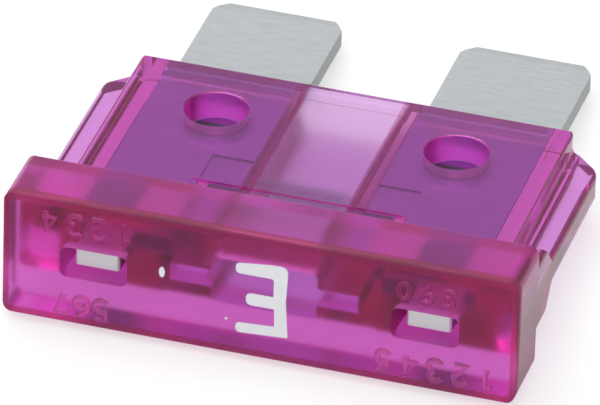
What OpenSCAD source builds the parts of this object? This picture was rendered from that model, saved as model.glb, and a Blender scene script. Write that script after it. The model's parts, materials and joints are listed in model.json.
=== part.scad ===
// Automotive blade fuse of the standard medium size, lying on its large face.
// A clear violet housing, moulded in one piece, holds one stamped element:
// two blades, two test tabs and the thin link that joins them.
// Millimetres. Each piece is drawn upright in its own frame first: X runs across
// the fuse, Y from the face of the head to the blade tips, Z through its thickness.

/* [Head] */
// Width of the head, end to end
head_w = 19.1; // [18.9:0.1:20]
// Thickness of the head
head_t = 5.1; // [4.4:0.1:5.8]
// Height of the head along the blades
head_h = 2.65; // [2.4:0.05:3]
// Radius of the head's four long corners
head_corner_r = 0.5; // [0.2:0.05:0.9]
// Radius of the other moulded edges
edge_r = 0.12; // [0.05:0.01:0.2]

/* [Body] */
// Width of the body between the wings
body_w = 16.4; // [16.1:0.1:17]
// Thickness of the body
body_t = 2.85; // [2.6:0.05:3.4]
// Distance from the head's face to the body's blade end
body_end = 12.35; // [12.2:0.05:13.5]
// Radius of the body's corners at the blade end
body_corner_r = 0.35; // [0.15:0.05:0.5]
// Depth of the shallow relief behind the head
relief_depth = 0.06; // [0.03:0.01:0.1]
// Width of the shallow relief
relief_w = 7.9; // [6:0.1:10]
// Distance from the head's face to the end of the relief
relief_end = 4.72; // [4:0.05:5.5]

/* [Wings] */
// Width over both wings
wing_span = 18.8; // [18.4:0.1:18.9]
// Thickness of a wing
wing_t = 1.15; // [0.9:0.05:1.6]
// Step from the body's blade end back to the end of the wings
wing_setback = 0.25; // [0.15:0.05:1]
// Width of the slant at a wing's blade end
wing_slant_w = 0.95; // [0.7:0.05:1.1]
// Length of the slant at a wing's blade end
wing_slant_l = 0.95; // [0.7:0.05:1.6]
// Radius of the corner between slant and outer edge
wing_corner_r = 0.6; // [0.3:0.05:0.8]
// Radius of a wing's outer edges
wing_edge_r = 0.25; // [0.1:0.05:0.4]
// Radius of the fillet between a wing and the body
root_r = 0.28; // [0.1:0.02:0.4]
// Length of the full-thickness shoulder behind the head
shoulder_l = 1.55; // [1:0.05:2.5]
// Length of the shoulder's slope down to the wing
shoulder_slope_l = 0.95; // [0.5:0.05:1.5]

/* [Test wells] */
// Width of a well's mouth in the face of the head
well_w = 2.5; // [2.3:0.05:3]
// Height of a well's mouth
well_t = 1.25; // [1:0.05:1.8]
// Depth of a well
well_depth = 1.3; // [1:0.05:1.6]
// Draft taken off each side of a well over its depth
well_draft = 0.2; // [0.05:0.01:0.2]
// Radius of a well's corners
well_corner_r = 0.28; // [0.1:0.02:0.35]

/* [Chamber] */
// Distance from the head's face to the chamber's roof
chamber_top = 1.2; // [0.9:0.05:2]
// Width of the chamber
chamber_w = 3.95; // [3.6:0.05:4.4]
// Thickness of the chamber
chamber_t = 1.84; // [1.4:0.02:2.1]
// Radius of the chamber's long corners
chamber_corner_r = 0.22; // [0.1:0.02:0.35]
// Distance from the head's face to the chamber's inner step
chamber_step_y = 5.42; // [4.5:0.02:6.5]
// Width of each of the chamber's two steps
chamber_step = 0.04; // [0.02:0.01:0.06]
// Depth of the wider mouth at the blade end
chamber_mouth_l = 0.85; // [0.4:0.05:1.5]
// Width of the flat pocket in which the link is slid home
link_pocket_w = 7; // [6:0.1:8]

/* [Blades] */
// Overall length from the head's face to the blade tips
total_l = 18.8; // [18:0.1:20]
// Width of a blade
blade_w = 5; // [4.8:0.05:5.2]
// Thickness of the stamped strip
blade_t = 0.65; // [0.5:0.01:0.8]
// Distance between the blades' inner edges
blade_gap = 4.55; // [4.45:0.05:4.8]
// Width of the slant at each tip corner
tip_slant_w = 0.45; // [0.2:0.05:0.9]
// Length of the slant at each tip corner
tip_slant_l = 0.75; // [0.3:0.05:1.5]
// Length of the coined lead-in at the tips
tip_bevel_l = 0.5; // [0.2:0.05:1]
// Depth of the coined lead-in on each face
tip_bevel = 0.12; // [0.04:0.01:0.2]
// Width of a test tab
tab_w = 1.65; // [1.4:0.05:1.8]
// Distance between the two test tabs' centres
tab_pitch = 12.3; // [12:0.05:12.4]
// Distance from the head's face down to a tab's end
tab_end = 0.5; // [0.3:0.05:0.9]
// Size of the slant on a tab's corners
tab_slant = 0.07; // [0.05:0.01:0.3]
// Distance from the head's face to the blades' outer shoulders
shoulder_y = 4.1; // [3.6:0.05:4.6]
// Distance from the head's face to the lower shoulder beside the link
link_shoulder_y = 5.4; // [5:0.05:5.6]
// Width of that lower shoulder
link_shoulder_w = 1.65; // [1.2:0.05:2]

/* [Link] */
// Distance from the head's face to the middle of the link
link_y = 6.35; // [6.2:0.05:6.8]
// Width of the link
link_w = 0.3; // [0.2:0.02:0.4]
// Thickness of the link
link_t = 0.2; // [0.1:0.01:0.3]
// Spacing of the link's three runs
link_pitch = 0.62; // [0.5:0.02:0.7]
// Distance from the middle to the centre of each bend
link_reach = 1; // [0.6:0.05:1.2]
// Depth of the coined area from which the link leaves, on each face
coin_depth = 0.07; // [0.03:0.01:0.12]
// Length of the coined area
coin_l = 1.8; // [1.6:0.05:2.2]

/* [Staking] */
// Distance between the two stake windows' centres
stake_pitch = 9.06; // [8.9:0.02:9.6]
// Distance from the head's face to the stake windows
stake_y = 9.53; // [9.2:0.01:9.9]
// Radius of a stake window
stake_r = 1.18; // [0.9:0.02:1.4]
// Radius of the rounding at a stake window's mouth
stake_lip_r = 0.08; // [0.04:0.01:0.14]
// Radius of the dimple that the stake leaves in the blade
dimple_r = 0.5; // [0.3:0.02:0.7]
// Depth of that dimple
dimple_depth = 0.1; // [0.04:0.01:0.16]

/* [Fits] */
// Clearance over each face of the strip in its slot
slot_clear = 0.025; // [0.02:0.005:0.05]
// Clearance beside each edge of the strip in its slot
side_clear = 0.05; // [0.03:0.01:0.1]

/* [Hidden] */
$fn = 48;
violet = [0.72, 0.22, 0.68, 0.55];
zinc = "silver";
weld = 0.5;
past = 1;
slot_t = blade_t + 2 * slot_clear;
blade_x = (blade_gap + blade_w) / 2;
blade_out = blade_gap / 2 + blade_w;
wing_x = wing_span / 2;
wing_end = body_end - wing_setback;
shoulder_end = head_h + shoulder_l + shoulder_slope_l;
link_turn_out = (link_pitch + link_w) / 2;
link_turn_in = (link_pitch - link_w) / 2;

// The resting pose: the head's rear edge and the body's far edge lie on the surface
rest_tilt = atan((head_t - body_t) / 2 / (body_end - head_h));
rest_lift = (head_h - edge_r) * sin(rest_tilt) + (head_t / 2 - edge_r) * cos(rest_tilt) + edge_r;
near_y = edge_r * cos(rest_tilt) - (head_t / 2 - edge_r) * sin(rest_tilt) - edge_r;
far_y = total_l * cos(rest_tilt) + (blade_t / 2 - tip_bevel) * sin(rest_tilt);

// Profiles

module rounded_rect(w, h, r) {
    square([w - 2 * r, h], center = true);
    square([w, h - 2 * r], center = true);
    for (sx = [-1, 1], sy = [-1, 1])
        translate([sx * (w / 2 - r), sy * (h / 2 - r)]) circle(r);
}

// Carries a profile in X and Z along the fuse
module along_y(from, to) {
    translate([0, from, 0]) rotate([-90, 0, 0]) linear_extrude(to - from) children();
}

// Carries a profile in Y and Z across the fuse
module across_x(from, to) {
    translate([from, 0, 0]) rotate([90, 0, 90]) linear_extrude(to - from) children();
}

// Carries an outline in X and Y through a thickness centred on the middle plane
module through_z(t) {
    translate([0, 0, -t / 2]) linear_extrude(t) children();
}

module both_sides() {
    children();
    mirror([1, 0, 0]) children();
}

module both_faces() {
    children();
    mirror([0, 0, 1]) children();
}

// A block of the width, thickness and length given, with every edge rounded
module rounded_block(w, t, from, to, long_r, plan_r, side_r) {
    mid = (from + to) / 2;
    intersection() {
        along_y(from, to) rounded_rect(w, t, long_r);
        through_z(t) translate([0, mid]) rounded_rect(w, to - from, plan_r);
        across_x(-w / 2, w / 2) translate([mid, 0]) rounded_rect(to - from, t, side_r);
    }
}

// Housing

module head() {
    rounded_block(head_w, head_t, 0, head_h, head_corner_r, edge_r, edge_r);
}

module body() {
    rounded_block(body_w, body_t, head_h - weld, body_end, edge_r, body_corner_r, edge_r);
}

// One concave corner between a wing and the body's side
module root_corner() {
    translate([body_w / 2, wing_t / 2])
        difference() {
            square([root_r, root_r]);
            translate([root_r, root_r]) circle(root_r);
        }
}

module wing_section() {
    rounded_rect(wing_span, wing_t, wing_edge_r);
    for (sx = [0, 1], sy = [0, 1])
        mirror([sx, 0]) mirror([0, sy]) root_corner();
}

// Outline of both wings seen from above, with the slanted, rounded ends
module wing_outline() {
    slant = [-wing_slant_w, wing_slant_l] / norm([wing_slant_w, wing_slant_l]);
    corner = [wing_x, wing_end - wing_slant_l];
    half = acos(slant * [0, -1]) / 2;
    inward = (slant + [0, -1]) / norm(slant + [0, -1]);
    reach = wing_corner_r / tan(half);
    both_sides() {
        polygon([
            [0, head_h - weld],
            [wing_x, head_h - weld],
            corner + [0, -reach],
            corner + slant * reach,
            [wing_x - wing_slant_w, wing_end],
            [0, wing_end]
        ]);
        translate(corner + inward * wing_corner_r / sin(half)) circle(wing_corner_r);
    }
}

module wings() {
    intersection() {
        along_y(head_h - weld, wing_end) wing_section();
        through_z(body_t) wing_outline();
    }
}

// The wings thicken to the body's thickness where they meet the head
module shoulders() {
    intersection() {
        along_y(head_h - weld, shoulder_end) rounded_rect(wing_span, body_t, wing_edge_r);
        across_x(-wing_x, wing_x)
            polygon([
                [head_h - weld, -body_t / 2],
                [shoulder_end - shoulder_slope_l, -body_t / 2],
                [shoulder_end, -wing_t / 2 + wing_edge_r],
                [shoulder_end, wing_t / 2 - wing_edge_r],
                [shoulder_end - shoulder_slope_l, body_t / 2],
                [head_h - weld, body_t / 2]
            ]);
    }
}

// A tapered pocket round the end of a test tab
module well() {
    bottom_w = well_w - 2 * well_draft;
    bottom_t = well_t - 2 * well_draft;
    translate([tab_pitch / 2, 0, 0])
        intersection() {
            along_y(-past, well_depth) rounded_rect(well_w, well_t, well_corner_r);
            through_z(well_t)
                polygon([
                    [-well_w / 2, -past], [-well_w / 2, 0], [-bottom_w / 2, well_depth],
                    [bottom_w / 2, well_depth], [well_w / 2, 0], [well_w / 2, -past]
                ]);
            across_x(-well_w / 2, well_w / 2)
                polygon([
                    [-past, -well_t / 2], [0, -well_t / 2], [well_depth, -bottom_t / 2],
                    [well_depth, bottom_t / 2], [0, well_t / 2], [-past, well_t / 2]
                ]);
        }
}

// The chamber round the link, open at the blade end and widened in two steps
module chamber() {
    along_y(chamber_top, body_end + past)
        rounded_rect(chamber_w, chamber_t, chamber_corner_r);
    along_y(chamber_step_y, body_end + past)
        rounded_rect(chamber_w + 2 * chamber_step, chamber_t + 2 * chamber_step,
            chamber_corner_r + chamber_step);
    along_y(body_end - chamber_mouth_l, body_end + past)
        rounded_rect(chamber_w + 4 * chamber_step, chamber_t + 4 * chamber_step,
            chamber_corner_r + 2 * chamber_step);
}

// Room for the strip: the blade, its two shoulders and the test tab
module strip_room() {
    outer = blade_out + side_clear;
    step_x = blade_gap / 2 + link_shoulder_w;
    tab_x = tab_pitch / 2;
    tab_half = tab_w / 2 + side_clear;
    through_z(slot_t)
        both_sides() {
            translate([0, link_shoulder_y - side_clear])
                square([outer, body_end + past - link_shoulder_y + side_clear]);
            translate([step_x - side_clear, shoulder_y - side_clear])
                square([outer - step_x + side_clear, link_shoulder_y - shoulder_y + 2 * side_clear]);
            translate([tab_x - tab_half, well_depth - weld])
                square([2 * tab_half, shoulder_y - well_depth + weld]);
            translate([0, chamber_top])
                square([link_pocket_w / 2, link_shoulder_y - chamber_top]);
        }
}

// Round windows through which the blades are staked, on both faces, with rounded mouths
module stake_windows() {
    both_sides()
        both_faces()
            translate([stake_pitch / 2, stake_y, 0]) {
                cylinder(r = stake_r, h = body_t / 2 + past);
                translate([0, 0, body_t / 2 - stake_lip_r])
                    rotate_extrude()
                        difference() {
                            square([stake_r + stake_lip_r, stake_lip_r + past]);
                            translate([stake_r + stake_lip_r, 0]) circle(stake_lip_r);
                        }
            }
}

// Shallow relief in both faces of the body, just behind the head
module reliefs() {
    both_faces()
        translate([-relief_w / 2, head_h, body_t / 2 - relief_depth])
            cube([relief_w, relief_end - head_h, past]);
}

module housing() {
    color(violet)
        difference() {
            union() {
                head();
                difference() {
                    union() {
                        body();
                        wings();
                        shoulders();
                    }
                    reliefs();
                }
            }
            both_sides() well();
            chamber();
            strip_room();
            stake_windows();
        }
}

// Fuse element

// One blade seen from above, from its test tab to its tip
module blade_outline() {
    inner = blade_gap / 2;
    step_x = inner + link_shoulder_w;
    tab_in = (tab_pitch - tab_w) / 2;
    tab_out = (tab_pitch + tab_w) / 2;
    polygon([
        [inner, link_shoulder_y],
        [step_x, link_shoulder_y],
        [step_x, shoulder_y],
        [tab_in, shoulder_y],
        [tab_in, tab_end + tab_slant],
        [tab_in + tab_slant, tab_end],
        [tab_out - tab_slant, tab_end],
        [tab_out, tab_end + tab_slant],
        [tab_out, shoulder_y],
        [blade_out, shoulder_y],
        [blade_out, total_l - tip_slant_l],
        [blade_out - tip_slant_w, total_l],
        [inner + tip_slant_w, total_l],
        [inner, total_l - tip_slant_l]
    ]);
}

// Side section of a blade: its tip is coined thinner as a lead-in
module blade_section() {
    half = blade_t / 2;
    polygon([
        [0, -half],
        [total_l - tip_bevel_l, -half],
        [total_l, -half + tip_bevel],
        [total_l, half - tip_bevel],
        [total_l - tip_bevel_l, half],
        [0, half]
    ]);
}

module blade() {
    difference() {
        intersection() {
            through_z(blade_t) blade_outline();
            across_x(0, wing_x) blade_section();
        }
        both_faces() {
            translate([blade_gap / 2 - past, link_shoulder_y - past, blade_t / 2 - coin_depth])
                cube([link_shoulder_w + past, coin_l + past, past]);
            translate([stake_pitch / 2, stake_y, blade_t / 2 - dimple_depth])
                cylinder(r = dimple_r, h = past);
        }
    }
}

// Half of one bend of the link, turned to the right
module link_bend() {
    intersection() {
        difference() {
            circle(link_turn_out);
            circle(link_turn_in);
        }
        translate([0, -link_turn_out]) square([link_turn_out, 2 * link_turn_out]);
    }
}

// The S-shaped link between the blades' coined areas
module link() {
    run_l = blade_gap / 2 + weld + link_reach;
    through_z(link_t)
        translate([0, link_y]) {
            square([2 * link_reach, link_w], center = true);
            for (turn = [0, 180])
                rotate(turn) {
                    translate([-blade_gap / 2 - weld, link_pitch - link_w / 2])
                        square([run_l, link_w]);
                    translate([link_reach, link_pitch / 2]) link_bend();
                }
        }
}

module fuse_element() {
    color(zinc) {
        both_sides() blade();
        link();
    }
}

// The fuse laid down at rest, centred over the origin
module at_rest() {
    translate([0, -(near_y + far_y) / 2, rest_lift]) rotate([-rest_tilt, 0, 0]) children();
}

at_rest() housing();
at_rest() fuse_element();
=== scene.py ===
"""Looks of an automotive blade fuse that lies on a pale floor.

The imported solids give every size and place. This file gives the clear violet plastic, the
satin zinc strip, the printed figure and the marks raised on the face of the head. Millimetre
sizes are in the fuse's own frame, as in its drawing: X from blade to blade, Y from the face of
the head to the blade tips, Z through the thickness. FusePlace carries them to the row frame.
"""

import json
import logging
import math
from dataclasses import dataclass
from enum import Enum

import bmesh
import bpy
from bpy.types import Collection, Material, Mesh, Node, NodeSocket, NodeTree, Object
from mathutils import Matrix, Vector
from mathutils.bvhtree import BVHTree
from mathutils.interpolate import poly_3d_calc

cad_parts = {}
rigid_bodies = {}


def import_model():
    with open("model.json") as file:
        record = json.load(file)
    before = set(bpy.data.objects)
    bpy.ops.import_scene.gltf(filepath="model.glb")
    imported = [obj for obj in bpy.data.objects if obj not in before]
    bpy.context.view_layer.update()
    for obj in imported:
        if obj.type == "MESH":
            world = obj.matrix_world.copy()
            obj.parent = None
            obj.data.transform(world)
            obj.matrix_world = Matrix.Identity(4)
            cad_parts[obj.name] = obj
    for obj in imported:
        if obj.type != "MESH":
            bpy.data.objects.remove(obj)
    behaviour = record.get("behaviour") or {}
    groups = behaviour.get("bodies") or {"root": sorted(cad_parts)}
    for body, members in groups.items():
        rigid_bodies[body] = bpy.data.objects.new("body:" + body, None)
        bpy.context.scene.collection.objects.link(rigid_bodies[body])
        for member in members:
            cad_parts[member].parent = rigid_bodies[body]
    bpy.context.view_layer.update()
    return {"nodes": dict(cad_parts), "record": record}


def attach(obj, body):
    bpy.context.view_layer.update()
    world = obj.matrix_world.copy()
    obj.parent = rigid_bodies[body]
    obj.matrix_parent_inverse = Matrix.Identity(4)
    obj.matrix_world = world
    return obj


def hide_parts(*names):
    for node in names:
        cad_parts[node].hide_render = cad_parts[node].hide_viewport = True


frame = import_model()

MM = 0.001
BODY = "root"
WHITE = "FFFFFF"
# A Mix node's share is input 0. Its numbers are inputs 2 and 3, or its colours inputs 6 and 7.
NUMBER_MIX = {"data_type": "FLOAT"}
COLOUR_MIX = {"data_type": "RGBA"}
log = logging.getLogger("fuse")


def linear(hex_colour: str) -> tuple[float, float, float, float]:
    """Turns an sRGB hex colour into linear red, green, blue and alpha, by the sRGB curve.

    Args:
        hex_colour: Six hex digits, such as "B84FB0".

    Returns:
        The linear colour, with alpha 1.
    """
    values = [int(hex_colour[i:i + 2], 16) / 255 for i in (0, 2, 4)]
    curve = [v / 12.92 if v <= 0.04045 else ((v + 0.055) / 1.055) ** 2.4 for v in values]
    return (curve[0], curve[1], curve[2], 1.0)


def add_node(
    tree: NodeTree, kind: str, settings: dict[str, object] | None = None, **links: object,
) -> Node:
    """Adds one node with its settings, and its input values or links.

    Args:
        tree: The node tree to add to.
        kind: The node's type, such as "ShaderNodeTexNoise".
        settings: Properties to set on the node, by name.
        links: Inputs by name, with underscores for spaces, or i0, i1 and so on by place. A socket
            is linked, and anything else is set as the value.

    Returns:
        The new node.
    """
    node = tree.nodes.new(kind)
    for name, value in (settings or {}).items():
        setattr(node, name, value)
    for name, value in links.items():
        by_place = name[0] == "i" and name[1:].isdigit()
        socket = node.inputs[int(name[1:])] if by_place else node.inputs[name.replace("_", " ")]
        if isinstance(value, NodeSocket):
            tree.links.new(value, socket)
        else:
            socket.default_value = value
    return node


class FusePlace:
    """Where the fuse's own frame lies in the row frame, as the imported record's face mount says.

    Attributes:
        to_row: Carries a point in millimetres in the fuse's own frame to metres in the row frame.
        upwards: The way out of the fuse's upper large faces, in the row frame.
    """

    def __init__(self, record: dict) -> None:
        """Reads the mount on the face of the head.

        Args:
            record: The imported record.
        """
        face = next(m for m in record["mounts"] if m["name"] == "push_face")
        outwards = Vector(face["axis"]).normalized()
        turn = Matrix.Rotation(-math.asin(outwards.z), 4, "X")
        self.to_row = Matrix.Translation(face["pos_m"]) @ turn @ Matrix.Scale(MM, 4)
        self.upwards = turn @ Vector((0.0, 0.0, 1.0))

    def point(self, x: float, y: float, z: float) -> Vector:
        """Carries a point in millimetres to the row frame, in metres."""
        return self.to_row @ Vector((x, y, z))


def fuse_coordinates(tree: NodeTree, place: FusePlace) -> NodeSocket:
    """Adds object coordinates turned to the fuse's own frame, in millimetres.

    Args:
        tree: The material's node tree.
        place: Where the fuse's own frame lies.

    Returns:
        The socket that gives the coordinates.
    """
    where = add_node(tree, "ShaderNodeTexCoord")
    back = place.to_row.inverted()
    mapping = add_node(
        tree, "ShaderNodeMapping", Vector=where.outputs["Object"],
        Location=back.translation, Rotation=back.to_euler(), Scale=back.to_scale(),
    )
    return mapping.outputs["Vector"]


def folded_coordinates(tree: NodeTree, here: NodeSocket) -> NodeSocket:
    """Adds nodes that take x and z as positive, because the fuse is the same on each side.

    Args:
        tree: The material's node tree.
        here: Coordinates in the fuse's own frame.

    Returns:
        The socket that gives the folded coordinates.
    """
    axes = add_node(tree, "ShaderNodeSeparateXYZ", Vector=here)
    across = add_node(tree, "ShaderNodeMath", {"operation": "ABSOLUTE"}, i0=axes.outputs["X"])
    above = add_node(tree, "ShaderNodeMath", {"operation": "ABSOLUTE"}, i0=axes.outputs["Z"])
    return add_node(
        tree, "ShaderNodeCombineXYZ",
        X=across.outputs[0], Y=axes.outputs["Y"], Z=above.outputs[0],
    ).outputs[0]


class Plan(Enum):
    """The outline of a region, as seen on the fuse's large faces."""

    SQUARE = "square"
    ROUND = "round"


@dataclass(frozen=True)
class Region:
    """A part of the fuse's own space, repeated on the other sides of x = 0 and z = 0.

    Attributes:
        middle: Its middle, in mm, on the side where x and z are positive.
        half: Half its size each way, in mm.
        plan: Its outline on the large faces. A round one is an upright drum.
    """

    middle: tuple[float, float, float]
    half: tuple[float, float, float]
    plan: Plan = Plan.SQUARE

    def share(self, tree: NodeTree, folded: NodeSocket) -> NodeSocket:
        """Adds nodes that give 1 inside the region and 0 outside.

        Args:
            tree: The material's node tree.
            folded: Coordinates in the fuse's own frame, with x and z taken as positive.

        Returns:
            The socket that gives the share.
        """
        moved = add_node(
            tree, "ShaderNodeVectorMath", {"operation": "SUBTRACT"}, i0=folded, i1=self.middle,
        )
        away = add_node(
            tree, "ShaderNodeVectorMath", {"operation": "ABSOLUTE"}, i0=moved.outputs[0],
        )
        part = add_node(
            tree, "ShaderNodeVectorMath", {"operation": "DIVIDE"},
            i0=away.outputs[0], i1=self.half,
        )
        axes = add_node(tree, "ShaderNodeSeparateXYZ", i0=part.outputs[0])
        if self.plan is Plan.ROUND:
            flat = add_node(tree, "ShaderNodeCombineXYZ", X=axes.outputs[0], Y=axes.outputs[1])
            reach = add_node(
                tree, "ShaderNodeVectorMath", {"operation": "LENGTH"}, i0=flat.outputs[0],
            ).outputs["Value"]
        else:
            reach = add_node(
                tree, "ShaderNodeMath", {"operation": "MAXIMUM"},
                i0=axes.outputs[0], i1=axes.outputs[1],
            ).outputs[0]
        most = add_node(
            tree, "ShaderNodeMath", {"operation": "MAXIMUM"}, i0=reach, i1=axes.outputs[2],
        )
        inside = add_node(
            tree, "ShaderNodeMath", {"operation": "LESS_THAN"}, i0=most.outputs[0], i1=1.0,
        )
        return inside.outputs[0]


@dataclass(frozen=True)
class WallFinishAndPaintedLight:
    """The roughness of the housing's walls in one region, and light or shade that a tint paints on
    them.

    Attributes:
        region: Where the walls are.
        roughness: Their roughness.
        tint: A tint that paints light or shade on them, or None for the tint that they have
            without it.
    """

    region: Region
    roughness: float
    tint: str | None = None


@dataclass(frozen=True)
class ClearViolet:
    """Clear dyed polycarbonate, injection moulded in a polished mould with satin cores.

    It refracts strongly and is glossy outside. The dye takes green almost at once and blue slowly,
    so thin walls look pale lilac, the head magenta and the longest paths crimson. The walls that
    a core has formed are satin, so that what lies behind them is blurred.

    Attributes:
        tint: Tint of each wall.
        dye: What the dye leaves of white light.
        dye_per_mm: How much dye the light meets in each mm.
        ior: Refractive index of polycarbonate.
        gloss: Roughness of the polished walls.
        gloss_spread: How far the polish varies, as a share of that roughness.
        haze_mm: Size of the patches in which it varies.
        haze_detail: How finely they are broken up.
        finishes_and_painted_light: Walls with a roughness of their own, some with a tint that
            paints light or shade on them. A later one covers an earlier one.
    """

    tint: str = "E9CCFF"
    dye: str = "F79BE4"
    dye_per_mm: float = 0.8
    ior: float = 1.58
    gloss: float = 0.12
    gloss_spread: float = 0.4
    haze_mm: float = 0.8
    haze_detail: float = 3.0
    finishes_and_painted_light: tuple[WallFinishAndPaintedLight, ...] = (
        # The outside of the head, less polished than the body.
        WallFinishAndPaintedLight(Region((0.0, 1.33, 0.0), (9.7, 1.34, 2.7)), 0.26),
        # The raised marks: frosted, with a tint almost clear of violet that paints a highlight on
        # them.
        WallFinishAndPaintedLight(Region((0.0, -0.13, 0.0), (9.4, 0.11, 2.4)), 0.65, "FFF8FF"),
        # The short upright edges of the face: a darker tint paints the soft pink line of shade on
        # them.
        WallFinishAndPaintedLight(Region((9.5, 0.1, 0.0), (0.2, 0.22, 2.45)), 0.55, "E080A8"),
        # The large faces of the head, which blur the tabs and slots below them.
        WallFinishAndPaintedLight(Region((0.0, 1.5, 2.55), (9.3, 1.2, 0.06)), 0.34),
        # The long edges of the face: a crimson tint paints the soft line of shade on them.
        WallFinishAndPaintedLight(Region((0.0, 0.1, 2.45), (9.5, 0.22, 0.22)), 0.55, "E4709A"),
        # The slots for the blades, from a satin core.
        WallFinishAndPaintedLight(Region((0.0, 8.28, 0.0), (7.42, 3.92, 0.37)), 0.2),
        # The mouths of these slots, where the core is polished.
        WallFinishAndPaintedLight(Region((0.0, 11.6, 0.0), (7.42, 0.8, 0.37)), 0.05),
        # The large faces over the mouths: a greyer tint paints the dark band of shade on them.
        WallFinishAndPaintedLight(Region((4.8, 12.08, 1.42), (2.45, 0.3, 0.1)), 0.2, "CAAEB0"),
        # The slots for the test tabs, the roughest of the cores.
        WallFinishAndPaintedLight(Region((6.15, 2.75, 0.0), (2.3, 1.63, 0.37)), 0.5),
        # The pocket round the link, satin as the slots are.
        WallFinishAndPaintedLight(Region((0.0, 6.75, 0.0), (3.6, 5.65, 0.37)), 0.2),
        # The chamber, slightly blurred, with a paler tint that paints light on it.
        WallFinishAndPaintedLight(Region((0.0, 6.95, 0.0), (2.12, 5.45, 1.02)), 0.25, "E9DAEE"),
        # The chamber's sides: a darker tint paints the two pink bars of shade on them.
        WallFinishAndPaintedLight(Region((2.05, 7.0, 0.6), (0.3, 5.4, 0.5)), 0.45, "D488B8"),
        # The wells, satin, with a deeper violet tint that paints shade in these recesses.
        WallFinishAndPaintedLight(Region((6.15, 0.7, 0.0), (1.3, 0.68, 0.66)), 0.5, "D281DC"),
        # The stake windows: a deep violet tint paints shade on their deep walls.
        WallFinishAndPaintedLight(Region((4.53, 9.53, 0.0), (1.2, 1.2, 1.4), Plan.ROUND), 0.42, "B040BE"),
    )

    def build(self, place: FusePlace) -> Material:
        """Builds the material.

        Args:
            place: Where the fuse's own frame lies.

        Returns:
            The material.
        """
        # Clear dyed polycarbonate, moulded: one sees through it to the strip and the floor.
        material = bpy.data.materials.new("clear_polycarbonate_moulded")
        material.use_nodes = True
        tree = material.node_tree
        shader = tree.nodes["Principled BSDF"]
        shader.inputs["Transmission Weight"].default_value = 1.0
        shader.inputs["IOR"].default_value = self.ior
        here = fuse_coordinates(tree, place)
        haze = add_node(
            tree, "ShaderNodeTexNoise",
            Vector=here, Scale=1 / self.haze_mm, Detail=self.haze_detail,
        )
        level = add_node(
            tree, "ShaderNodeMapRange", Value=haze.outputs["Fac"],
            To_Min=self.gloss * (1 - self.gloss_spread),
            To_Max=self.gloss * (1 + self.gloss_spread),
        ).outputs["Result"]
        folded = folded_coordinates(tree, here)
        colour = add_node(
            tree, "ShaderNodeMix", COLOUR_MIX, i0=0.0, i6=linear(self.tint),
        ).outputs[2]
        for finish_and_light in self.finishes_and_painted_light:
            share = finish_and_light.region.share(tree, folded)
            level = add_node(
                tree, "ShaderNodeMix", NUMBER_MIX, i0=share, i2=level, i3=finish_and_light.roughness,
            ).outputs[0]
            # A tint here is painted light or shade on these walls.
            if finish_and_light.tint is not None:
                colour = add_node(
                    tree, "ShaderNodeMix", COLOUR_MIX,
                    i0=share, i6=colour, i7=linear(finish_and_light.tint),
                ).outputs[2]
        tree.links.new(level, shader.inputs["Roughness"])
        tree.links.new(colour, shader.inputs["Base Color"])
        dye = add_node(
            tree, "ShaderNodeVolumeAbsorption",
            Color=linear(self.dye), Density=self.dye_per_mm / MM,
        )
        tree.links.new(dye.outputs["Volume"], tree.nodes["Material Output"].inputs["Volume"])
        return material


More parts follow.
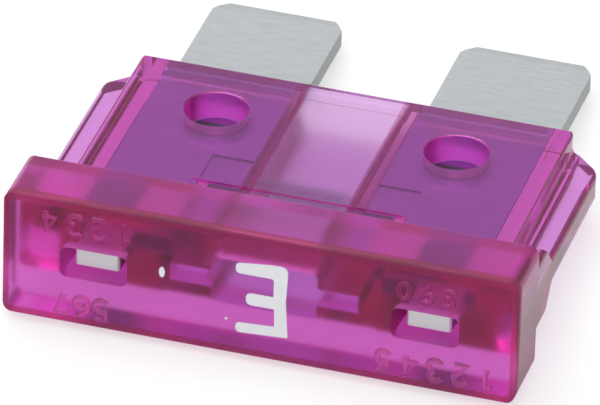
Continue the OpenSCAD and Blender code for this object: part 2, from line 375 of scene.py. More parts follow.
@dataclass(frozen=True)
class StampedZinc:
    """Zinc alloy strip, rolled and stamped.

    The rolled faces are satin grey with faint flecks across the strip, and the sheared edges are
    darker. The ends of the test tabs are painted brighter, as painted light from the front. Where
    the strip is staked, it lies in a pit: a painted reflection of the violet wall round it colours
    the strip there, and part of the pit has painted shade.

    Attributes:
        rolled: Colour of the rolled faces.
        fleck: Colour of the flecks in them.
        sheared: Colour of the sheared edges.
        tab_end_painted_light: Colour of the ends of the test tabs, painted brighter as painted
            light.
        metallic: Share of metal. The rest is the dull film that zinc grows in air.
        roughness: Roughness of the rolled faces.
        roughness_spread: How far it varies, as a share of itself.
        fleck_mm: Size of a fleck each way.
        fleck_detail: How finely the flecks are broken up.
        fleck_fineness: How strong their fine parts are.
        fleck_range: The part of the flecks' pattern that goes from one colour to the other.
        grain_mm: Width of the rolls' grain. The real one is finer, and is drawn as coarse as it
            needs to show.
        grain_detail: How finely the grain is broken up.
        grain_depth_mm: Depth of the grain.
        grain_strength: How far the grain tilts the surface, from 0 to 1.
        edge_below: A face is an edge where less than this share of its normal is up or down.
        tab_end_painted_light_to: How far from the face of the head the painted light on the tabs'
            ends reaches, in mm.
        staked: The strip in the stake windows.
        staked_painted_reflection: Its colour, a painted reflection of the violet wall round it.
        shaded: The part of it that gets painted shade.
        painted_shade_colour: The colour of that painted shade.
    """

    rolled: str = "C8CCCF"
    fleck: str = "BBC0C3"
    sheared: str = "9A9D9D"
    tab_end_painted_light: str = "E6E8E8"
    metallic: float = 0.7
    roughness: float = 0.5
    roughness_spread: float = 0.15
    fleck_mm: tuple[float, float, float] = (0.9, 0.16, 0.16)
    fleck_detail: float = 4.0
    fleck_fineness: float = 0.65
    fleck_range: tuple[float, float] = (0.35, 0.65)
    grain_mm: float = 0.12
    grain_detail: float = 2.0
    grain_depth_mm: float = 0.01
    grain_strength: float = 0.12
    edge_below: float = 0.5
    tab_end_painted_light_to: float = 0.62
    staked: Region = Region((4.53, 9.53, 0.0), (1.19, 1.19, 1.0), Plan.ROUND)
    staked_painted_reflection: str = "A452B2"
    shaded: Region = Region((4.53, 9.0, 0.0), (1.19, 1.28, 1.0))
    painted_shade_colour: str = "5C5664"

    def build(self, place: FusePlace) -> Material:
        """Builds the material.

        Args:
            place: Where the fuse's own frame lies.

        Returns:
            The material.
        """
        # Zinc alloy, cold rolled and stamped: satin grey that mirrors only broad lights.
        material = bpy.data.materials.new("zinc_alloy_rolled_strip")
        material.use_nodes = True
        tree = material.node_tree
        shader = tree.nodes["Principled BSDF"]
        shader.inputs["Metallic"].default_value = self.metallic
        here = fuse_coordinates(tree, place)
        stretched = add_node(
            tree, "ShaderNodeVectorMath", {"operation": "DIVIDE"}, i0=here, i1=self.fleck_mm,
        )
        flecks = add_node(
            tree, "ShaderNodeTexNoise", Vector=stretched.outputs[0], Scale=1.0,
            Detail=self.fleck_detail, Roughness=self.fleck_fineness,
        ).outputs["Fac"]
        tree.links.new(self.colour(tree, place, here, flecks), shader.inputs["Base Color"])
        rough = add_node(
            tree, "ShaderNodeMapRange", Value=flecks,
            To_Min=self.roughness * (1 - self.roughness_spread),
            To_Max=self.roughness * (1 + self.roughness_spread),
        )
        tree.links.new(rough.outputs["Result"], shader.inputs["Roughness"])
        grain = add_node(
            tree, "ShaderNodeTexNoise",
            Vector=here, Scale=1 / self.grain_mm, Detail=self.grain_detail,
        )
        bump = add_node(
            tree, "ShaderNodeBump", Height=grain.outputs["Fac"],
            Strength=self.grain_strength, Distance=self.grain_depth_mm * MM,
        )
        tree.links.new(bump.outputs["Normal"], shader.inputs["Normal"])
        return material

    def colour(
        self, tree: NodeTree, place: FusePlace, here: NodeSocket, flecks: NodeSocket,
    ) -> NodeSocket:
        """Adds the faces' and edges' colours, painted light on the tabs' ends, and a painted
        reflection and painted shade in the staked places.

        Args:
            tree: The material's node tree.
            place: Where the fuse's own frame lies.
            here: Coordinates in the fuse's own frame.
            flecks: The flecks' pattern.

        Returns:
            The socket that gives the colour.
        """
        spread = add_node(
            tree, "ShaderNodeMapRange", Value=flecks,
            From_Min=self.fleck_range[0], From_Max=self.fleck_range[1],
        )
        colour = add_node(
            tree, "ShaderNodeMix", COLOUR_MIX,
            i0=spread.outputs["Result"], i6=linear(self.fleck), i7=linear(self.rolled),
        ).outputs[2]
        normal = add_node(tree, "ShaderNodeTexCoord").outputs["Normal"]
        facing = add_node(
            tree, "ShaderNodeVectorMath", {"operation": "DOT_PRODUCT"},
            i0=normal, i1=place.upwards,
        )
        level = add_node(
            tree, "ShaderNodeMath", {"operation": "ABSOLUTE"}, i0=facing.outputs["Value"],
        )
        edge = add_node(
            tree, "ShaderNodeMath", {"operation": "LESS_THAN"},
            i0=level.outputs[0], i1=self.edge_below,
        )
        along = add_node(tree, "ShaderNodeSeparateXYZ", Vector=here).outputs["Y"]
        # Painted light: the tabs' ends are painted bright where they face the front.
        end = add_node(
            tree, "ShaderNodeMath", {"operation": "LESS_THAN"}, i0=along, i1=self.tab_end_painted_light_to,
        )
        folded = folded_coordinates(tree, here)
        # Painted reflection of the violet wall in the stake windows, and painted shade in part of
        # them.
        staked = self.staked.share(tree, folded)
        shaded = add_node(
            tree, "ShaderNodeMath", {"operation": "MULTIPLY"},
            i0=staked, i1=self.shaded.share(tree, folded),
        )
        for share, tint in (
            (edge.outputs[0], self.sheared), (end.outputs[0], self.tab_end_painted_light),
            (staked, self.staked_painted_reflection), (shaded.outputs[0], self.painted_shade_colour),
        ):
            colour = add_node(
                tree, "ShaderNodeMix", COLOUR_MIX, i0=share, i6=colour, i7=linear(tint),
            ).outputs[2]
        return colour


@dataclass(frozen=True)
class PrintingInk:
    """White pad-printing ink.

    It is opaque and matt, so that it stands out on the gloss, and slightly grey where it is thin.

    Attributes:
        colour: Colour of a full layer.
        thin: Colour where the layer is thin.
        roughness: Roughness of the dry ink.
        patch_mm: Size of the patches in which the layer varies.
        patch_detail: How finely they are broken up.
    """

    colour: str = "D2D3D7"
    thin: str = "C6C8CC"
    roughness: float = 0.55
    patch_mm: float = 1 / 3
    patch_detail: float = 5.0

    def build(self, place: FusePlace) -> Material:
        """Builds the material.

        Args:
            place: Where the fuse's own frame lies.

        Returns:
            The material.
        """
        # Pad-printing ink, dried: a flat white that hides the plastic and mirrors nothing.
        material = bpy.data.materials.new("pad_printing_ink_matt")
        material.use_nodes = True
        tree = material.node_tree
        shader = tree.nodes["Principled BSDF"]
        shader.inputs["Roughness"].default_value = self.roughness
        here = fuse_coordinates(tree, place)
        cover = add_node(
            tree, "ShaderNodeTexNoise",
            Vector=here, Scale=1 / self.patch_mm, Detail=self.patch_detail,
        )
        tone = add_node(
            tree, "ShaderNodeMix", COLOUR_MIX,
            i0=cover.outputs["Fac"], i6=linear(self.thin), i7=linear(self.colour),
        )
        tree.links.new(tone.outputs[2], shader.inputs["Base Color"])
        return material


@dataclass
class Camera:
    """The camera, at the photograph's view angle.

    Attributes:
        azimuth: Turn round the fuse, in degrees in the row frame. 0 looks along +Y.
        elevation: Height above the floor, in degrees.
        roll: Turn about the line of sight, in degrees.
        distance: From the camera to the point that it looks at, in mm.
        aim: That point, in mm in the row frame.
        focal_px: Focal length in pixels of the picture.
        picture_px: Width of the picture in pixels.
        sensor_mm: Width of the sensor.
        near_mm: Nearest distance that is drawn.
        far_mm: Farthest distance that is drawn.
    """

    azimuth: float = 17.0847
    elevation: float = 38.3051
    roll: float = -0.4839
    distance: float = 362.832
    aim: tuple[float, float, float] = (-1.1697, -0.2833, 0.0923)
    focal_px: float = 9989.12
    picture_px: float = 600.0
    sensor_mm: float = 36.0
    near_mm: float = 100.0
    far_mm: float = 5000.0

    def build(self) -> Object:
        """Builds the camera and makes it the scene's own.

        Returns:
            The camera object.
        """
        data = bpy.data.cameras.new("camera")
        data.sensor_width = self.sensor_mm
        data.lens = self.focal_px / self.picture_px * self.sensor_mm
        data.clip_start = self.near_mm * MM
        data.clip_end = self.far_mm * MM
        camera = bpy.data.objects.new("camera", data)
        bpy.context.scene.collection.objects.link(camera)
        azimuth = math.radians(self.azimuth)
        elevation = math.radians(self.elevation)
        forward = Vector((
            -math.sin(azimuth) * math.cos(elevation),
            math.cos(azimuth) * math.cos(elevation),
            -math.sin(elevation),
        ))
        turn = forward.to_track_quat("-Z", "Y").to_matrix().to_4x4()
        roll = Matrix.Rotation(math.radians(self.roll), 4, "Z")
        eye = (Vector(self.aim) - forward * self.distance) * MM
        camera.matrix_world = Matrix.Translation(eye) @ turn @ roll
        bpy.context.scene.camera = camera
        return camera


@dataclass
class Lamp:
    """One soft square lamp, which looks at the fuse.

    Attributes:
        name: Its name.
        at: Its place, in mm in the row frame.
        size_mm: Its side.
        watts: Its power.
    """

    name: str
    at: tuple[float, float, float]
    size_mm: float
    watts: float

    def build(self) -> None:
        """Builds the lamp."""
        data = bpy.data.lights.new(self.name, "AREA")
        data.size = self.size_mm * MM
        data.energy = self.watts
        lamp = bpy.data.objects.new(self.name, data)
        bpy.context.scene.collection.objects.link(lamp)
        at = Vector(self.at) * MM
        turn = at.to_track_quat("Z", "Y").to_matrix().to_4x4()
        lamp.matrix_world = Matrix.Translation(at) @ turn


@dataclass
class Studio:
    """A plain white floor under soft light, with a white surround.

    The floor and the surround are white where the camera looks at them, straight or through the
    plastic. A polished face mirrors a room that is greyer than the floor, as in the photograph.

    Attributes:
        floor_mm: Side of the floor.
        floor_colour: Colour of its card.
        floor_roughness: Roughness of its card.
        floor_clean: Share of clean white, in place of the lit card, where the camera looks.
        floor_clean_mirrored: The same share where a polished face looks.
        floor_clean_through: The same share where the clear plastic looks.
        floor_through: Level of the clean white through the plastic.
        floor_mirrored_front: Its level in a polished face, in front of the fuse.
        floor_mirrored_behind: The same, behind the fuse and beside it.
        fade_from: Where along Y the one level starts to turn into the other, in mm.
        fade_to: Where that ends.
        beside_from: Where along X it starts, in mm.
        beside_to: Where that ends.
        room_light: Level of the surround's soft light on matt surfaces.
        room_mirrored: Level of the surround in a polished face.
        room_through: Its level behind the fuse, through the plastic.
        room_through_front: Its level in front of the fuse, through the plastic.
        front_way: Y of the directions that count as in front.
        behind_way: Y of the directions that count as behind.
        clear_bounces: Bounces in clear plastic, enough for the head with all that is in it.
        glossy_bounces: Bounces between mirroring faces.
        lamps: The lamps.
    """

    floor_mm: float = 1200.0
    floor_colour: str = "F4F4F4"
    floor_roughness: float = 0.9
    floor_clean: float = 0.5
    floor_clean_mirrored: float = 0.8
    floor_clean_through: float = 0.78
    floor_through: float = 1.0
    floor_mirrored_front: float = 0.4
    floor_mirrored_behind: float = 1.0
    fade_from: float = -12.0
    fade_to: float = 4.0
    beside_from: float = 9.5
    beside_to: float = 10.5
    room_light: float = 0.62
    room_mirrored: float = 0.45
    room_through: float = 0.95
    room_through_front: float = 0.5
    front_way: float = -0.6
    behind_way: float = 0.2
    clear_bounces: int = 32
    glossy_bounces: int = 16
    lamps: tuple[Lamp, ...] = (
        Lamp("softbox_above", (-150.0, 120.0, 450.0), 450.0, 1.4),
        Lamp("softbox_front", (120.0, -350.0, 350.0), 500.0, 1.4),
    )

    def build(self) -> None:
        """Builds the floor, the surround and the lamps, and sets how light bounces."""
        cycles = bpy.context.scene.cycles
        cycles.max_bounces = self.clear_bounces
        cycles.transmission_bounces = self.clear_bounces
        cycles.glossy_bounces = self.glossy_bounces
        self.build_floor()
        self.build_surround()
        for lamp in self.lamps:
            lamp.build()

    def seen_level(
        self, tree: NodeTree, plain: float, camera: float,
        mirrored: float | NodeSocket, through: float | NodeSocket,
    ) -> NodeSocket:
        """Adds nodes that give a level by the kind of ray.

        Args:
            tree: The node tree.
            plain: Level for light that falls on matt surfaces.
            camera: Level where the camera looks.
            mirrored: Level where a glossy surface looks.
            through: Level where a clear piece looks.

        Returns:
            The socket that gives the level.
        """
        path = add_node(tree, "ShaderNodeLightPath")
        level = plain
        for ray, seen in (
            ("Is Camera Ray", camera), ("Is Glossy Ray", mirrored),
            ("Is Transmission Ray", through),
        ):
            level = add_node(
                tree, "ShaderNodeMix", NUMBER_MIX, i0=path.outputs[ray], i2=level, i3=seen,
            ).outputs[0]
        return level

    def build_floor(self) -> None:
        """Builds the floor, which keeps the fuse's shadow."""
        half = self.floor_mm * MM / 2
        corners = [(-half, -half, 0), (half, -half, 0), (half, half, 0), (-half, half, 0)]
        mesh = bpy.data.meshes.new("floor")
        mesh.from_pydata(corners, [], [(0, 1, 2, 3)])
        mesh.materials.append(self.floor_card())
        floor = bpy.data.objects.new("floor", mesh)
        bpy.context.scene.collection.objects.link(floor)

    def floor_card(self) -> Material:
        """Builds the floor's material.

        Returns:
            The material.
        """
        # White card, uncoated: even white with a soft shadow and no shine.
        material = bpy.data.materials.new("floor_white_card")
        material.use_nodes = True
        tree = material.node_tree
        shader = tree.nodes["Principled BSDF"]
        shader.inputs["Base Color"].default_value = linear(self.floor_colour)
        shader.inputs["Roughness"].default_value = self.floor_roughness
        shader.inputs["Specular IOR Level"].default_value = 0.0
        where = add_node(tree, "ShaderNodeTexCoord")
        axes = add_node(tree, "ShaderNodeSeparateXYZ", Vector=where.outputs["Object"])
        behind, beside = (
            add_node(
                tree, "ShaderNodeMapRange", Value=axes.outputs[axis],
                From_Min=start * MM, From_Max=end * MM,
                To_Min=self.floor_mirrored_front, To_Max=self.floor_mirrored_behind,
            ).outputs["Result"]
            for axis, start, end in (
                ("Y", self.fade_from, self.fade_to), ("X", self.beside_from, self.beside_to),
            )
        )
        mirrored = add_node(
            tree, "ShaderNodeMath", {"operation": "MAXIMUM"}, i0=behind, i1=beside,
        )
        bright = self.seen_level(tree, 0.0, 1.0, mirrored.outputs[0], self.floor_through)
        white = add_node(tree, "ShaderNodeEmission", Color=linear(WHITE), Strength=bright)
        share = self.seen_level(
            tree, 0.0, self.floor_clean, self.floor_clean_mirrored, self.floor_clean_through,
        )
        mixed = add_node(
            tree, "ShaderNodeMixShader", i0=share, i1=shader.outputs[0], i2=white.outputs[0],
        )
        tree.links.new(mixed.outputs[0], tree.nodes["Material Output"].inputs["Surface"])
        return material

    def build_surround(self) -> None:
        """Builds the world: white where the camera and the plastic look, and soft light."""
        world = bpy.data.worlds.new("surround")
        bpy.context.scene.world = world
        world.use_nodes = True
        tree = world.node_tree
        way = add_node(tree, "ShaderNodeTexCoord")
        axes = add_node(tree, "ShaderNodeSeparateXYZ", Vector=way.outputs["Generated"])
        through = add_node(
            tree, "ShaderNodeMapRange", Value=axes.outputs["Y"],
            From_Min=self.front_way, From_Max=self.behind_way,
            To_Min=self.room_through_front, To_Max=self.room_through,
        )
        level = self.seen_level(
            tree, self.room_light, 1.0, self.room_mirrored, through.outputs["Result"],
        )
        background = tree.nodes["Background"]
        tree.links.new(level, background.inputs["Strength"])
        background.inputs["Color"].default_value = linear(WHITE)


class Figure(Enum):
    """The printed figure: the corners of its outline on the head's face.

    Each corner is its place across and up and the radius that rounds it, in mm.
    """

    THREE = (
        (-0.86, 1.3, 0.19), (0.4, 1.45, 0.6), (1.09, 1.47, 0.42), (1.02, 0.03, 1.0),
        (1.12, -1.48, 0.05), (-0.82, -1.6, 0.19), (-0.82, -1.18, 0.19), (0.61, -1.1, 0.04),
        (0.6, -0.37, 0.04), (-0.46, -0.38, 0.24), (-0.46, 0.13, 0.24), (0.56, 0.13, 0.04),
        (0.56, 0.88, 0.12), (-0.86, 0.88, 0.19),
    )


@dataclass(frozen=True)
class InkSpotAndGlint:
    """An oval spot of white ink, for a painted glint and for a stray dot alike: its middle across
    and up, and its radii, in mm.
    """

    x: float
    z: float
    across: float
    up: float


@dataclass
class PrintedFigure:
    """The figure printed on the face of the head, with two small spots of white ink beside it: the
    larger a painted glint, the smaller a stray dot of ink.

    Attributes:
        figure: The figure.
        proud: How far the ink stands out of the face, in mm.
        gap: How far its rear is from the face, in mm, so that the two never share a surface.
        arc_steps: Straight steps in a rounded corner.
        side_share: The most of a side that a corner's rounding may take.
        spots: The spots.
        spot_sides: Sides of a spot.
    """

    figure: Figure = Figure.THREE
    proud: float = 0.014
    gap: float = 0.002
    arc_steps: int = 8
    side_share: float = 0.48
    # The larger spot is a painted glint on the face; the smaller is a stray dot of ink.
    spots: tuple[InkSpotAndGlint, ...] = (
        InkSpotAndGlint(-3.59, 0.33, 0.11, 0.22), InkSpotAndGlint(-1.17, -1.11, 0.05, 0.05),
    )
    spot_sides: int = 28

    def build(self, place: FusePlace, ink: Material) -> Object:
        """Builds the piece.

        Args:
            place: Where the fuse's own frame lies.
            ink: The ink.

        Returns:
            The piece.
        """
        shape = bmesh.new()
        for outline in (self.figure_outline(), *map(self.spot_outline, self.spots)):
            self.add_sheet(shape, place, outline)
        bmesh.ops.recalc_face_normals(shape, faces=shape.faces)
        mesh = bpy.data.meshes.new("printed_figure")
        shape.to_mesh(mesh)
        shape.free()
        mesh.materials.append(ink)
        piece = bpy.data.objects.new("printed_figure", mesh)
        bpy.context.scene.collection.objects.link(piece)
        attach(piece, BODY)
        return piece

    def figure_outline(self) -> list[tuple[float, float]]:
        """Gives the figure's outline with its corners rounded, in mm across and up."""
        corners = [(Vector((x, z)), radius) for x, z, radius in self.figure.value]
        points = []
        for i, (corner, radius) in enumerate(corners):
            back = corners[i - 1][0] - corner
            ahead = corners[(i + 1) % len(corners)][0] - corner
            most = min(back.length, ahead.length) * self.side_share
            reach = min(radius / math.tan(back.angle(ahead) / 2), most)
            start = corner + back.normalized() * reach
            end = corner + ahead.normalized() * reach
            for step in range(self.arc_steps + 1):
                t = step / self.arc_steps
                point = start * (1 - t) ** 2 + corner * 2 * t * (1 - t) + end * t ** 2
                points.append((point.x, point.y))
        return points

    def spot_outline(self, spot: InkSpotAndGlint) -> list[tuple[float, float]]:
        """Gives a spot's outline, in mm across and up."""
        turns = [2 * math.pi * i / self.spot_sides for i in range(self.spot_sides)]
        return [
            (spot.x + spot.across * math.cos(t), spot.z + spot.up * math.sin(t)) for t in turns
        ]

    def add_sheet(
        self, shape: bmesh.types.BMesh, place: FusePlace, outline: list[tuple[float, float]],
    ) -> None:
        """Adds one closed sheet of ink.

        Args:
            shape: The mesh to add to.
            place: Where the fuse's own frame lies.
            outline: Points across and up on the face of the head, in mm.
        """
        front = [shape.verts.new(place.point(x, -self.proud, z)) for x, z in outline]
        rear = [shape.verts.new(place.point(x, -self.gap, z)) for x, z in outline]
        shape.faces.new(front)
        shape.faces.new(rear[::-1])
        for i, j in zip(range(len(outline)), [*range(1, len(outline)), 0]):
            shape.faces.new((front[i], rear[i], rear[j], front[j]))


@dataclass(frozen=True)
class DigitRow:
    """One row of raised digits in counting order, upside down as seen with the figure upright.

    Attributes:
        first: The first digit.
        count: How many digits.
        right: Where the row starts, across, in mm.
        middle: Height of the row's middle on the face, in mm.
        pitch: From one digit to the next, in mm.
        height: Height of a digit over its beads, in mm.
    """

    first: int
    count: int
    right: float
    middle: float
    pitch: float
    height: float


@dataclass
class RaisedMarks:
    """Rows of plain digits raised on the face of the head, where the mould's marks are.

    Geometry nodes set the digits' strokes along each row and sweep a round bead along them.

    Attributes:
        rows: The rows.
        bead: Radius of the bead, in mm.
        sunk: How far the bead's middle is inside the face, in mm.
        bead_sides: Sides of the bead.
        digit_width: Width of a digit, as a share of its height.
        box_width: Width of the box in which the strokes are drawn, where its height is 1.
        arc_degrees: About how far one straight step goes round an arc.
        least_steps: The fewest steps in an arc.
        same_point: Ends of a stroke that are nearer than this close it.
    """

    rows: tuple[DigitRow, ...] = (
        DigitRow(1, 4, -4.55, 1.6, 0.93, 1.15),
        DigitRow(5, 3, -5.45, -1.75, 0.74, 1.1),
        DigitRow(8, 3, 7.4, 1.4, 0.82, 0.95),
        DigitRow(1, 5, 8.95, -1.68, 0.95, 1.15),
    )
    bead: float = 0.13
    sunk: float = 0.03
    bead_sides: int = 12
    digit_width: float = 0.62
    box_width: float = 0.6
    arc_degrees: float = 15.0
    least_steps: int = 6
    same_point: float = 1e-6

    def build(self, plastic: Material) -> Mesh:
        """Builds all rows as one mesh in the fuse's own frame, in millimetres.

        Args:
            plastic: The material of the marks.

        Returns:
            The mesh, with closed beads that may cross one another.
        """
        strokes = bpy.data.collections.new("strokes")
        for digit in range(10):
            strokes.objects.link(self.stroke_object(digit))
        tree = self.node_tree(strokes)
        joined = bmesh.new()
        for row in self.rows:
            joined.from_mesh(self.row_mesh(tree, row, plastic))
        mesh = bpy.data.meshes.new("raised_marks")
        joined.to_mesh(mesh)
        joined.free()
        mesh.materials.append(plastic)
        for item in list(strokes.objects):
            bpy.data.objects.remove(item)
        bpy.data.collections.remove(strokes)
        return mesh

    def arc(
        self, middle: tuple[float, float], radii: tuple[float, float], start: float, end: float,
    ) -> list[tuple[float, float]]:
        """Gives the points of an arc of an ellipse.

        Args:
            middle: Its middle, across and up.
            radii: Its radii, across and up.
            start: Where it starts, in degrees from the right and counter-clockwise.
            end: Where it ends.

        Returns:
            The points.
        """
        steps = max(self.least_steps, int(abs(end - start) / self.arc_degrees))
        turns = [math.radians(start + (end - start) * i / steps) for i in range(steps + 1)]
        return [
            (middle[0] + radii[0] * math.cos(t), middle[1] + radii[1] * math.sin(t))
            for t in turns
        ]

    def strokes_of(self, digit: int) -> list[list[tuple[float, float]]]:
        """Gives a digit's strokes, across and up, in a box of the box's width and height 1."""
        arc = self.arc
        return {
            0: [arc((0.3, 0.5), (0.27, 0.46), 0, 360)],
            1: [[(0.12, 0.76), (0.33, 0.96), (0.33, 0.04)]],
            2: [arc((0.3, 0.69), (0.26, 0.27), 165, -35) + [(0.05, 0.04), (0.57, 0.04)]],
            3: [
                arc((0.27, 0.74), (0.24, 0.22), 150, -80),
                arc((0.27, 0.27), (0.28, 0.23), 85, -150),
            ],
            4: [[(0.44, 0.04), (0.44, 0.96), (0.04, 0.3), (0.57, 0.3)]],
            5: [
                [(0.53, 0.96), (0.14, 0.96), (0.1, 0.55)]
                + arc((0.28, 0.32), (0.28, 0.28), 120, -140),
            ],
            6: [
                arc((0.3, 0.3), (0.26, 0.26), 0, 360),
                [(0.04, 0.34), (0.13, 0.7), (0.45, 0.96)],
            ],
            7: [[(0.04, 0.96), (0.56, 0.96), (0.22, 0.04)]],
            8: [
                arc((0.3, 0.73), (0.21, 0.23), 0, 360),
                arc((0.3, 0.27), (0.26, 0.23), 0, 360),
            ],
            9: [
                arc((0.3, 0.7), (0.26, 0.26), 0, 360),
                [(0.56, 0.66), (0.47, 0.3), (0.15, 0.04)],
            ],
        }[digit]

    def stroke_object(self, digit: int) -> Object:
        """Makes a digit's strokes as edges, centred, one unit high.

        Args:
            digit: The digit.

        Returns:
            The object, which isn't in the scene.
        """
        shape = bmesh.new()
        widen = self.digit_width / self.box_width
        for stroke in self.strokes_of(digit):
            closed = (Vector(stroke[0]) - Vector(stroke[-1])).length < self.same_point
            used = stroke[:-1] if closed else stroke
            verts = [
                shape.verts.new(((x - self.box_width / 2) * widen, 0.0, z - 0.5))
                for x, z in used
            ]
            for a, b in zip(verts, verts[1:]):
                shape.edges.new((a, b))
            if closed:
                shape.edges.new((verts[-1], verts[0]))
        mesh = bpy.data.meshes.new("stroke")
        shape.to_mesh(mesh)
        shape.free()
        return bpy.data.objects.new(f"stroke_{digit}", mesh)

    def node_tree(self, strokes: Collection) -> NodeTree:
        """Builds the node tree that sets one row and sweeps the bead.

        Args:
            strokes: The ten digits' strokes.

        Returns:
            The node tree.
        """
        tree = bpy.data.node_groups.new("raised_row", "GeometryNodeTree")
        sockets = tree.interface
        sockets.new_socket("Geometry", in_out="OUTPUT", socket_type="NodeSocketGeometry")
        for name, kind in (
            ("First digit", "NodeSocketInt"), ("Count", "NodeSocketInt"),
            ("Right end", "NodeSocketVector"), ("Step", "NodeSocketVector"),
            ("Height", "NodeSocketFloat"), ("Bead radius", "NodeSocketFloat"),
            ("Bead sides", "NodeSocketInt"), ("Material", "NodeSocketMaterial"),
        ):
            sockets.new_socket(name, in_out="INPUT", socket_type=kind)
        given = add_node(tree, "NodeGroupInput").outputs
        places = add_node(
            tree, "GeometryNodeMeshLine", Count=given["Count"],
            Start_Location=given["Right end"], Offset=given["Step"],
        )
        index = add_node(tree, "GeometryNodeInputIndex").outputs[0]
        order = add_node(
            tree, "ShaderNodeMath", {"operation": "ADD"}, i0=index, i1=given["First digit"],
        )
        # After 9 comes 0.
        digit = add_node(
            tree, "ShaderNodeMath", {"operation": "MODULO"}, i0=order.outputs[0], i1=10.0,
        )
        kinds = add_node(
            tree, "GeometryNodeCollectionInfo", Collection=strokes, Separate_Children=True,
        )
        size = add_node(
            tree, "ShaderNodeCombineXYZ", X=given["Height"], Y=given["Height"], Z=given["Height"],
        )
        placed = add_node(
            tree, "GeometryNodeInstanceOnPoints", Points=places.outputs[0],
            Instance=kinds.outputs[0], Pick_Instance=True, Instance_Index=digit.outputs[0],
            Rotation=(0.0, math.pi, 0.0), Scale=size.outputs[0],
        )
        plain = add_node(tree, "GeometryNodeRealizeInstances", Geometry=placed.outputs[0])
        lines = add_node(tree, "GeometryNodeMeshToCurve", Mesh=plain.outputs[0])
        ring = add_node(
            tree, "GeometryNodeCurvePrimitiveCircle",
            Resolution=given["Bead sides"], Radius=given["Bead radius"],
        )
        beads = add_node(
            tree, "GeometryNodeCurveToMesh",
            Curve=lines.outputs[0], Profile_Curve=ring.outputs[0], Fill_Caps=True,
        )
        whole = add_node(tree, "GeometryNodeRealizeInstances", Geometry=beads.outputs[0])
        painted = add_node(
            tree, "GeometryNodeSetMaterial",
            Geometry=whole.outputs[0], Material=given["Material"],
        )
        out = add_node(tree, "NodeGroupOutput")
        tree.links.new(painted.outputs[0], out.inputs[0])
        return tree

    def row_mesh(self, tree: NodeTree, row: DigitRow, plastic: Material) -> Mesh:
        """Makes one row as a plain mesh.

        Args:
            tree: The node tree.
            row: The row.
            plastic: The material of the marks.

        Returns:
            The mesh.
        """
        holder = bpy.data.objects.new("row", bpy.data.meshes.new("row"))
        bpy.context.scene.collection.objects.link(holder)
        modifier = holder.modifiers.new("row", "NODES")
        modifier.node_group = tree
        values = {
            "First digit": row.first, "Count": row.count,
            "Right end": (row.right - row.pitch / 2, self.sunk, row.middle),
            "Step": (-row.pitch, 0.0, 0.0), "Height": row.height - 2 * self.bead,
            "Bead radius": self.bead, "Bead sides": self.bead_sides, "Material": plastic,
        }
        for item in tree.interface.items_tree:
            if item.name in values:
                modifier[item.identifier] = values[item.name]
        holder.update_tag()
        graph = bpy.context.evaluated_depsgraph_get()
        mesh = bpy.data.meshes.new_from_object(holder.evaluated_get(graph))
        bpy.data.objects.remove(holder)
        return mesh


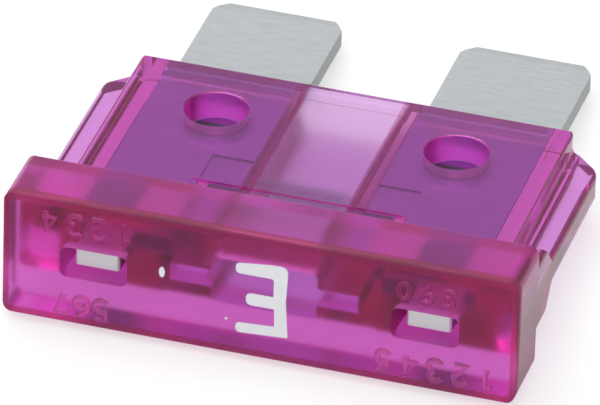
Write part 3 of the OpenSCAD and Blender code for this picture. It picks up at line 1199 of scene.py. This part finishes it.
@dataclass
class MouldedHousing:
    """The clear housing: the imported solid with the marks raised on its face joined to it.

    Attributes:
        node: The CAD node.
        place: Where the fuse's own frame lies.
        weld_m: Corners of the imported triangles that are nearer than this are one, in metres.
        least_normal: A blend of normals that is shorter than this has no clear direction.
    """

    node: Object
    place: FusePlace
    weld_m: float = 1e-7
    least_normal: float = 0.5

    def build(self, violet: Material, marks: Mesh) -> Object:
        """Builds the housing and puts it in the CAD node's place.

        Args:
            violet: The plastic.
            marks: The raised marks, in the fuse's own frame. Their material is a copy of the
                plastic, which tells their faces from the housing's after the union and is then
                removed.

        Returns:
            The housing.
        """
        marks.transform(self.place.to_row)
        marker = marks.materials[0]
        solid = self.node.data.copy()
        solid.materials.clear()
        solid.materials.append(violet)
        self.weld(solid)
        piece = bpy.data.objects.new("moulded_housing", solid)
        raised = bpy.data.objects.new("raised", marks)
        for item in (piece, raised):
            bpy.context.scene.collection.objects.link(item)
        union = piece.modifiers.new("union", "BOOLEAN")
        union.operation = "UNION"
        union.solver = "EXACT"
        union.use_self = True
        union.material_mode = "TRANSFER"
        union.object = raised
        graph = bpy.context.evaluated_depsgraph_get()
        whole = bpy.data.meshes.new_from_object(piece.evaluated_get(graph))
        piece.modifiers.remove(union)
        piece.data = whole
        bpy.data.objects.remove(raised)
        self.set_normals(whole)
        for face in whole.polygons:
            face.material_index = 0
        while len(whole.materials) > 1:
            whole.materials.pop()
        bpy.data.materials.remove(marker)
        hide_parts("housing")
        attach(piece, BODY)
        return piece

    def weld(self, mesh: Mesh) -> None:
        """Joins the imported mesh's loose triangles."""
        shape = bmesh.new()
        shape.from_mesh(mesh)
        bmesh.ops.remove_doubles(shape, verts=shape.verts, dist=self.weld_m)
        shape.to_mesh(mesh)
        shape.free()

    def set_normals(self, mesh: Mesh) -> None:
        """Gives the housing's faces the exact surfaces' normals again, and the beads smooth ones.

        Args:
            mesh: The joined mesh. Material 0 marks the housing's faces and 1 the beads'.
        """
        exact = self.node.data
        corners = [
            [exact.loops[i].vertex_index for i in face.loop_indices] for face in exact.polygons
        ]
        points = [v.co.copy() for v in exact.vertices]
        tree = BVHTree.FromPolygons(points, corners)
        mesh.polygons.foreach_set("use_smooth", [True] * len(mesh.polygons))
        # A corner whose normal stays zero keeps the smooth one that the mesh has by itself.
        normals = [(0.0, 0.0, 0.0)] * len(mesh.loops)
        for face in mesh.polygons:
            if face.material_index:
                continue
            near = tree.find_nearest(face.center)[2]
            loops = exact.polygons[near].loop_indices
            outline = [points[exact.loops[i].vertex_index] for i in loops]
            shading = [Vector(exact.corner_normals[i].vector) for i in loops]
            for loop in face.loop_indices:
                at = mesh.vertices[mesh.loops[loop].vertex_index].co
                weights = poly_3d_calc(outline, at)
                blend = sum((n * w for n, w in zip(shading, weights)), Vector())
                if blend.length > self.least_normal and blend.dot(face.normal) > 0:
                    normals[loop] = tuple(blend.normalized())
                else:
                    normals[loop] = tuple(face.normal)
        mesh.normals_split_custom_set(normals)


@dataclass
class StampedElement:
    """The stamped strip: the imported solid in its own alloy.

    Attributes:
        node: The CAD node.
    """

    node: Object

    def build(self, zinc: Material) -> Object:
        """Puts the alloy on the strip.

        Args:
            zinc: The alloy.

        Returns:
            The strip.
        """
        for slot in self.node.material_slots:
            slot.material = zinc
        return self.node


def report(piece: Object) -> None:
    """Logs a piece's name, faces and size."""
    size = [round(value / MM, 2) for value in piece.dimensions]
    log.info("%s: %d faces, %s mm", piece.name, len(piece.data.polygons), size)


def main() -> None:
    """Builds the scene and reports each piece."""
    logging.basicConfig(level=logging.INFO, format="%(message)s")
    bpy.context.scene.view_settings.view_transform = "Standard"
    place = FusePlace(frame["record"])
    Camera().build()
    Studio().build()
    report(StampedElement(frame["nodes"]["fuse_element"]).build(StampedZinc().build(place)))
    violet = ClearViolet().build(place)
    marks = RaisedMarks().build(violet.copy())
    report(MouldedHousing(frame["nodes"]["housing"], place).build(violet, marks))
    report(PrintedFigure().build(place, PrintingInk().build(place)))


if __name__ == "__main__":
    main()
